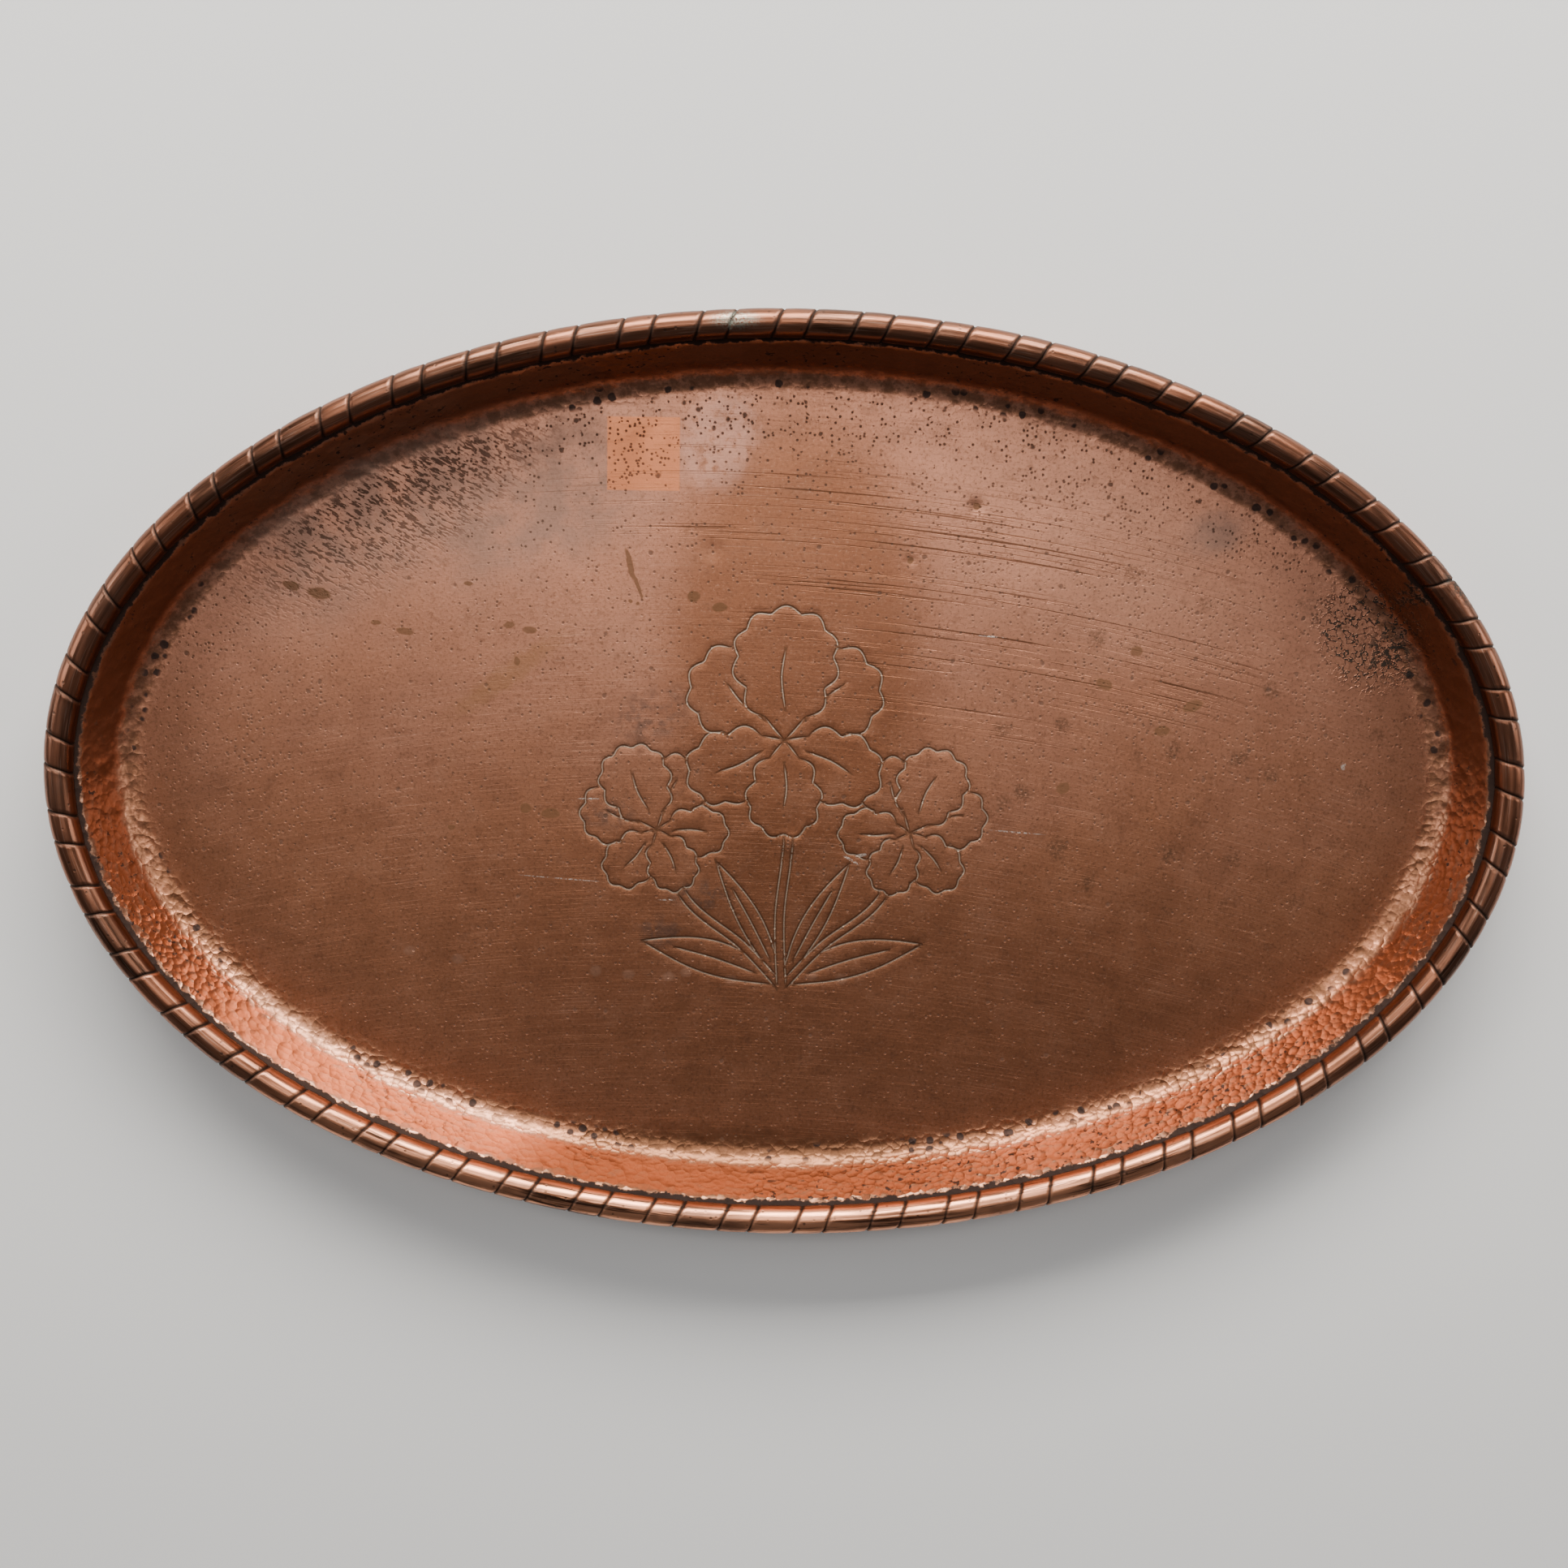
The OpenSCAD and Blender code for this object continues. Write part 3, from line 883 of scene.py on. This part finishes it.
# Painted highlight: bright orange streaks on the near side of the binding, where it catches the light.
near_side = bench.ease(bench.split(spot)[1], -90.0, -165.0)
painted_near_highlight = bench.math("MULTIPLY", near_side, bench.ease(streak, 0.36, 0.54))
tone = bench.blend(painted_near_highlight, tone, (0.92, 0.40, 0.22, 1))
tone = bench.blend(bench.math("MULTIPLY", bench.ease(hair, 0.55, 0.7), 0.25), tone, (0.75, 0.48, 0.36, 1))
tone = bench.blend(bench.math("MULTIPLY", bench.ease(cloud, 0.45, 0.7), 0.5), tone, (0.20, 0.10, 0.065, 1))
# Painted shade on the inner and lower side of the tube, which faces away from the light.
painted_shade_inner_side = bench.math("MULTIPLY", bench.ease(turn_at, 2.3, 2.9), bench.ease(turn_at, 5.0, 4.2))
tone = bench.blend(bench.math("MULTIPLY", painted_shade_inner_side, 0.85), tone, (0.085, 0.038, 0.022, 1))
cut_dark = bench.math("POWER", bench.math("DIVIDE", groove_mm, 0.85), 2.0)
cut_dark = bench.math("POWER", math.e, bench.math("MULTIPLY", cut_dark, -1.0))
cut_bright = bench.math("MULTIPLY", burr_here, bench.ease(grain, 0.3, 0.55))
tone = bench.blend(bench.math("MULTIPLY", cut_bright, 0.07), tone, (0.70, 0.56, 0.46, 1))
tone = bench.blend(bench.math("MULTIPLY", cut_dark, 0.92), tone, (0.03, 0.022, 0.018, 1))
rope_gap, rope_hue = bench.cells(spot, 0.5)
rope_pits = bench.math("LESS_THAN", bench.chance(rope_hue), 0.10)
rope_pits = bench.math("MULTIPLY", rope_pits, bench.ease(rope_gap, 0.34, 0.18))
tone = bench.blend(bench.math("MULTIPLY", rope_pits, 0.6), tone, (0.09, 0.055, 0.04, 1))
green = blot(254, 82, 9, 12, 30, 0.9, at=spot)
green = bench.math("MULTIPLY", green, bench.ease(bench.noise(spot, 0.5, 4.0, 0.7), 0.42, 0.56))
tone = bench.blend(bench.math("MULTIPLY", green, 0.9), tone, (0.04, 0.055, 0.05, 1))
smear = bench.math("MULTIPLY", blot(-20, 171, 8, 3, 0, 1.0, at=spot), bench.ease(grain, 0.35, 0.6))
tone = bench.blend(bench.math("MULTIPLY", smear, 0.6), tone, (0.40, 0.42, 0.34, 1))
bench.feed(rope_shader.inputs["Base Color"], tone)
rough = bench.math("ADD", bench.math("MULTIPLY", streak, 0.22), 0.20)
rope_dull = bench.math("MULTIPLY", bench.math("MAXIMUM", cut_dark, green), 0.35)
rough = bench.math("ADD", rough, rope_dull, clamp=True)
bench.feed(rope_shader.inputs["Roughness"], rough)
relief = bench.math("ADD", bench.math("MULTIPLY", streak, 0.10), bench.math("MULTIPLY", hair, 0.05))
relief = bench.math("ADD", relief, bench.math("MULTIPLY", grain, 0.02))
relief = bench.math("SUBTRACT", relief, bench.math("MULTIPLY", rope_pits, 0.06))
bump = bench.lay("ShaderNodeBump", {"Height": relief, "Strength": 0.7, "Distance": 1.0 * MM})
bench.feed(rope_shader.inputs["Normal"], bump.outputs[0])

# The tree puts stations on the path, crowded towards each groove, sweeps the section
# along them and then moves every point to its slanted place, sunk in the grooves.
chase, bench, given, result = new_tree(
    "chase_rope", [("Section", "Object"), ("Groove pairs", "Int"), ("Stations per groove", "Int"),
                   ("Short share", "Float"), ("Slant", "Float"), ("Groove depth", "Float"),
                   ("Groove width", "Float"), ("Burr height", "Float"), ("Swell", "Float"),
                   ("Tube radius", "Float"), ("Material", "Material")])
grooves = bench.math("MULTIPLY", given["Groove pairs"], 2.0)
stations = bench.math("MULTIPLY", grooves, given["Stations per groove"])
line = bench.lay("GeometryNodeMeshLine", {"Count": stations})
index = bench.lay("GeometryNodeInputIndex").outputs[0]
groove = bench.math("FLOOR", bench.math("DIVIDE", index, given["Stations per groove"]))
stop = bench.math("SUBTRACT", index, bench.math("MULTIPLY", groove, given["Stations per groove"]))
half_stops = bench.math("FLOOR", bench.math("DIVIDE", given["Stations per groove"], 2.0))
stop = bench.math("DIVIDE", bench.math("SUBTRACT", stop, half_stops), given["Stations per groove"])
stop_size = bench.math("ABSOLUTE", stop)
crowding = bench.math("POWER", bench.math("MULTIPLY", stop_size, 2.0), 3.0)
warped = bench.math("ADD", bench.math("MULTIPLY", stop_size, 0.2), bench.math("MULTIPLY", crowding, 0.4))
path_length = bench.lay("GeometryNodeCurveLength", {"Curve": given["Geometry"]}).outputs[0]
pair_length = bench.math("DIVIDE", path_length, given["Groove pairs"])
short_length = bench.math("MULTIPLY", pair_length, given["Short share"])
long_length = bench.math("SUBTRACT", pair_length, short_length)
is_odd = bench.math("MODULO", groove, 2.0)
past = bench.math("GREATER_THAN", stop, 0.0)
short_now = bench.math("ABSOLUTE", bench.math("SUBTRACT", past, is_odd))
less = bench.math("SUBTRACT", short_length, long_length)
gap_now = bench.math("ADD", long_length, bench.math("MULTIPLY", short_now, less))
pair = bench.math("FLOOR", bench.math("DIVIDE", groove, 2.0))
groove_at = bench.math("ADD", bench.math("MULTIPLY", pair, pair_length),
                       bench.math("MULTIPLY", is_odd, short_length))
off_groove = bench.math("MULTIPLY", bench.math("MULTIPLY", warped, bench.math("SIGN", stop)), gap_now)
station_at = bench.math("ADD", groove_at, off_groove)
station_at = bench.math("WRAP", station_at, path_length, 0.0)
sample = bench.lay("GeometryNodeSampleCurve", {"Curves": given["Geometry"], "Length": station_at},
                   mode="LENGTH", use_all_curves=True)
placed = bench.lay("GeometryNodeSetPosition", {"Geometry": line.outputs[0],
                                               "Position": sample.outputs["Position"]})


def keep(geometry, name, kind, value):
    node = bench.lay("GeometryNodeStoreNamedAttribute", {"Geometry": geometry, "Name": name},
                     data_type=kind, domain="POINT")
    bench.feed(node.inputs["Value"], value)
    return node.outputs[0]


def recall(name, kind):
    return bench.lay("GeometryNodeInputNamedAttribute", {"Name": name}, data_type=kind).outputs[0]


lined = keep(placed.outputs[0], "spot", "FLOAT_VECTOR", sample.outputs["Position"])
lined = keep(lined, "way", "FLOAT_VECTOR", sample.outputs["Tangent"])
lined = keep(lined, "off_groove", "FLOAT", off_groove)
lined = keep(lined, "round", "FLOAT", station_at)
segment = bench.math("MODULO", bench.math("ADD", groove, past), grooves)
chance = bench.lay("FunctionNodeRandomValue", {"ID": segment, "Seed": 5}, data_type="FLOAT").outputs["Value"]
lined = keep(lined, "worn", "FLOAT", chance)
rail = bench.lay("GeometryNodeMeshToCurve", {"Mesh": lined})
rail = bench.lay("GeometryNodeSetSplineCyclic", {"Geometry": rail.outputs[0], "Cyclic": True})
section_in = bench.lay("GeometryNodeObjectInfo", {"Object": given["Section"]})
section_place = bench.lay("GeometryNodeInputPosition").outputs[0]
section = keep(section_in.outputs["Geometry"], "section", "FLOAT_VECTOR", section_place)
swept = bench.lay("GeometryNodeCurveToMesh", {"Curve": rail.outputs[0], "Profile Curve": section})
section_here = recall("section", "FLOAT_VECTOR")
section_out, section_up, _ = bench.split(section_here)
section_size = bench.vector("LENGTH", section_here)
way = recall("way", "FLOAT_VECTOR")
outward = bench.vector("NORMALIZE", bench.vector("CROSS_PRODUCT", way, (0.0, 0.0, 1.0)))
off = recall("off_groove", "FLOAT")


def hump(value, centre, width):
    """A smooth bell of height 1."""
    reach = bench.math("DIVIDE", bench.math("SUBTRACT", value, centre), width)
    return bench.math("POWER", math.e, bench.math("MULTIPLY", bench.math("MULTIPLY", reach, reach), -1.0))


side = bench.math("DIVIDE", section_out, given["Tube radius"])
bend = bench.math("ADD", bench.math("MULTIPLY", side, 0.65),
                  bench.math("MULTIPLY", bench.math("POWER", side, 3.0), 0.35))
along_shift = bench.math("MULTIPLY", bend, bench.math("MULTIPLY", given["Slant"], -1.0))
on_skin = bench.math("GREATER_THAN", section_size, bench.math("MULTIPLY", given["Tube radius"], 0.95))
chased = bench.ease(bench.math("DIVIDE", section_up, given["Tube radius"]), -0.85, -0.35)
chased = bench.math("MULTIPLY", chased, on_skin)
sink = bench.math("MULTIPLY", hump(off, 0.0, given["Groove width"]), given["Groove depth"])
burr_bell = hump(off, bench.math("MULTIPLY", given["Groove width"], 2.2), given["Groove width"])
burr = bench.math("MULTIPLY", burr_bell, given["Burr height"])
full = bench.math("MULTIPLY", bench.math("SUBTRACT", 1.0, hump(off, 0.0, 3.2 * MM)), given["Swell"])
skin_move = bench.math("MULTIPLY", bench.math("SUBTRACT", bench.math("ADD", burr, full), sink), chased)
hand = bench.noise(recall("spot", "FLOAT_VECTOR"), 30.0, 2.0)
unevenness = bench.math("MULTIPLY", bench.math("SUBTRACT", hand, 0.5), 0.5 * MM)
skin_move = bench.math("ADD", skin_move, bench.math("MULTIPLY", unevenness, on_skin))
grow = bench.math("ADD", 1.0, bench.math("DIVIDE", skin_move, section_size))
x_move = bench.vector("SCALE", outward, bench.math("MULTIPLY", section_out, grow))
z_move = bench.join(0.0, 0.0, bench.math("MULTIPLY", section_up, grow))
where = bench.vector("ADD", recall("spot", "FLOAT_VECTOR"), bench.vector("ADD", x_move, z_move))
where = bench.vector("ADD", where, bench.vector("SCALE", way, along_shift))
rope_form = bench.lay("GeometryNodeSetPosition", {"Geometry": swept.outputs[0], "Position": where})
turn_angle = bench.math("ARCTAN2", section_up, section_out)
turn_angle = bench.math("WRAP", turn_angle, whole_turn, 0.0)
groove_gap = bench.math("ABSOLUTE", off)
rope_geometry = keep(rope_form.outputs[0], "burr", "FLOAT", burr_bell)
lay_here = bench.join(recall("round", "FLOAT"), turn_angle, groove_gap)
rope_geometry = keep(rope_geometry, "lay", "FLOAT_VECTOR", lay_here)
finish_tree(bench, rope_geometry, given["Material"], result)

rope_mesh = run_tree(tube_path, chase, {
    "Section": tube_profile, "Groove pairs": groove_pairs, "Stations per groove": stops_per_groove,
    "Short share": 0.405, "Slant": 2.4 * MM, "Groove depth": 0.60 * MM, "Groove width": 0.42 * MM,
    "Burr height": 0.07 * MM, "Swell": 0.14 * MM, "Tube radius": tube_r, "Material": rope_paint})
rope = bpy.data.objects.new("rope_binding_tube", rope_mesh)
bpy.context.scene.collection.objects.link(rope)
for helper in (tube_path, tube_profile):
    bpy.data.objects.remove(helper)
volume = 0.0
for face in rope_mesh.polygons:
    volume += face.center.dot(face.normal) * face.area
if volume < 0:
    rope_mesh.flip_normals()
rope_mesh.polygons.foreach_set("use_smooth", np.ones(len(rope_mesh.polygons), bool))
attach(rope, "root")
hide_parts("rope_binding")


# ---------------------------------------------------------------- core wire
# Annealed iron wire, black with mill scale, that the tube was closed over.
wire_paint, bench, wire_shader, spot = new_paint("black_iron_wire")
flake = bench.ease(bench.noise(spot, 0.3, 4.0, 0.6), 0.4, 0.65)
tone = bench.blend(flake, (0.05, 0.045, 0.042, 1), (0.16, 0.09, 0.06, 1))
bench.feed(wire_shader.inputs["Base Color"], tone)
bench.feed(wire_shader.inputs["Roughness"], bench.math("ADD", bench.math("MULTIPLY", flake, 0.3), 0.5))
wire_skin = bench.noise(spot, 0.8, 3.0)
bump = bench.lay("ShaderNodeBump", {"Height": wire_skin, "Strength": 0.4, "Distance": 0.5 * MM})
bench.feed(wire_shader.inputs["Normal"], bump.outputs[0])
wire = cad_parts["core_wire"]
wire.data.materials.clear()
wire.data.materials.append(wire_paint)
